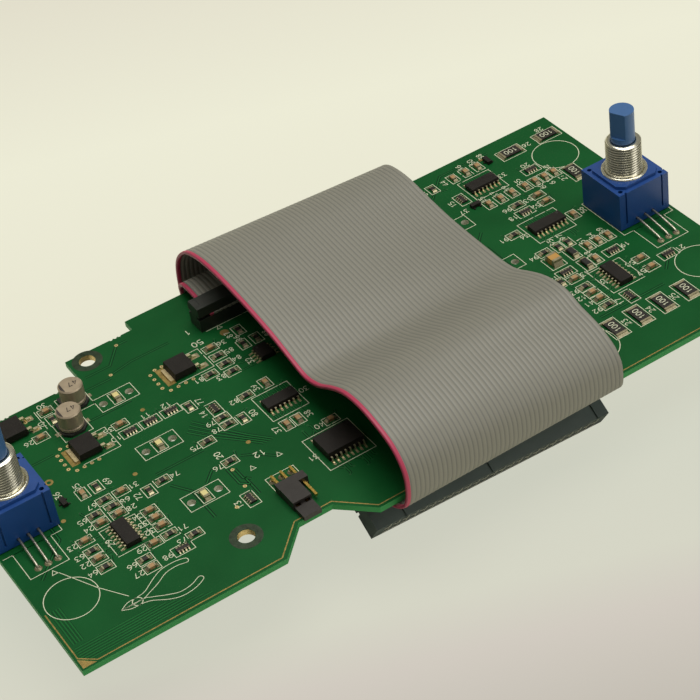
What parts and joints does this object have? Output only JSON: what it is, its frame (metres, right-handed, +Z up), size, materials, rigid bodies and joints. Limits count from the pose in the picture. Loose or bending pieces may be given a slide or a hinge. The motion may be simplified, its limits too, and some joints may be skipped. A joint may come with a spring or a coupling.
{
  "type": "control circuit board with ribbon lead",
  "caption": "Electronic control board with surface-mount chips, threaded-bushing potentiometers, a jumper and a wide folded ribbon lead ending in a loose insulation-displacement socket.",
  "frame": {"origin": "axis of the front mounting hole, on the underside of the board", "axes": "+X along the board's long edge towards the end with the row of power resistors, +Y from the notched front edge towards the board connector, +Z up out of the component side"},
  "size_m": [0.198, 0.11, 0.0512],
  "materials": {
    "solder_mask": "semi-gloss green solder mask over fibreglass",
    "connector_black": "moulded, slightly glossy",
    "tinned_contact": "tinned copper",
    "ribbon_grey": "soft grey insulation, red first conductor",
    "socket_slate": "moulded slate plastic",
    "gold_contact": "gold-plated",
    "pot_blue": "moulded blue plastic",
    "nickel": "nickel-plated brass thread",
    "shaft_blue": "moulded blue plastic",
    "rotor_white": "moulded",
    "wiper_bronze": "spring strip",
    "element_carbon": "conductive plastic track",
    "header_black": "moulded",
    "can_aluminium": "drawn can, satin",
    "can_base_black": "moulded",
    "package_black": "moulded epoxy",
    "tinned_leg": "tinned, with solder fillets",
    "crystal_steel": "satin",
    "capacitor_tan": "ceramic with tinned ends",
    "resistor_black": "glass-coated ceramic with tinned ends",
    "led_lens": "clear lens on a white base"
  },
  "bodies": {
    "board": {"circuit_board": "solder_mask", "board_connector_base": "connector_black", "board_connector_cover": "connector_black", "board_connector_contacts": "tinned_contact", "ribbon_cable": "ribbon_grey", "socket_body": "socket_slate", "socket_cover": "socket_slate", "socket_contacts": "gold_contact", "left_pot_housing": "pot_blue", "left_pot_rear_plate": "pot_blue", "left_pot_bushing": "nickel", "left_pot_element": "element_carbon", "left_pot_leads": "tinned_contact", "right_pot_housing": "pot_blue", "right_pot_rear_plate": "pot_blue", "right_pot_bushing": "nickel", "right_pot_element": "element_carbon", "right_pot_leads": "tinned_contact", "jumper_base": "header_black", "jumper_pins": "gold_contact", "electrolytic_cans": "can_aluminium", "electrolytic_bases": "can_base_black", "regulator_bodies": "package_black", "regulator_tabs": "tinned_leg", "regulator_legs": "tinned_leg", "logic_chips": "package_black", "logic_chip_legs": "tinned_leg", "microcontroller": "package_black", "microcontroller_legs": "tinned_leg", "crystal_can": "crystal_steel", "chip_capacitors": "capacitor_tan", "chip_resistors": "resistor_black", "resistor_arrays": "resistor_black", "power_resistors": "resistor_black", "small_transistors": "package_black", "rectifier_diodes": "package_black", "tantalum_capacitor": "capacitor_tan", "status_leds": "led_lens", "lead_solder": "tinned_contact"},
    "left_shaft": {"left_pot_shaft": "shaft_blue", "left_pot_rotor": "rotor_white", "left_pot_wiper": "wiper_bronze"},
    "right_shaft": {"right_pot_shaft": "shaft_blue", "right_pot_rotor": "rotor_white", "right_pot_wiper": "wiper_bronze"},
    "shunt": {"shunt_cap": "header_black", "shunt_clip": "gold_contact"}
  },
  "joints": [
    {"name": "left_pot_turn", "type": "hinge", "parent": "board", "child": "left_shaft", "pos_m": [-0.0398, 0.0395, 0.02], "axis": [0, 0, 1], "range_deg": [-150, 150]},
    {"name": "right_pot_turn", "type": "hinge", "parent": "board", "child": "right_shaft", "pos_m": [0.1407, 0.0395, 0.02], "axis": [0, 0, 1], "range_deg": [-150, 150]},
    {"name": "shunt_pull", "type": "slide", "parent": "board", "child": "shunt", "axis": [0, -1, 0], "range_m": [0, 0.008]}
  ]
}
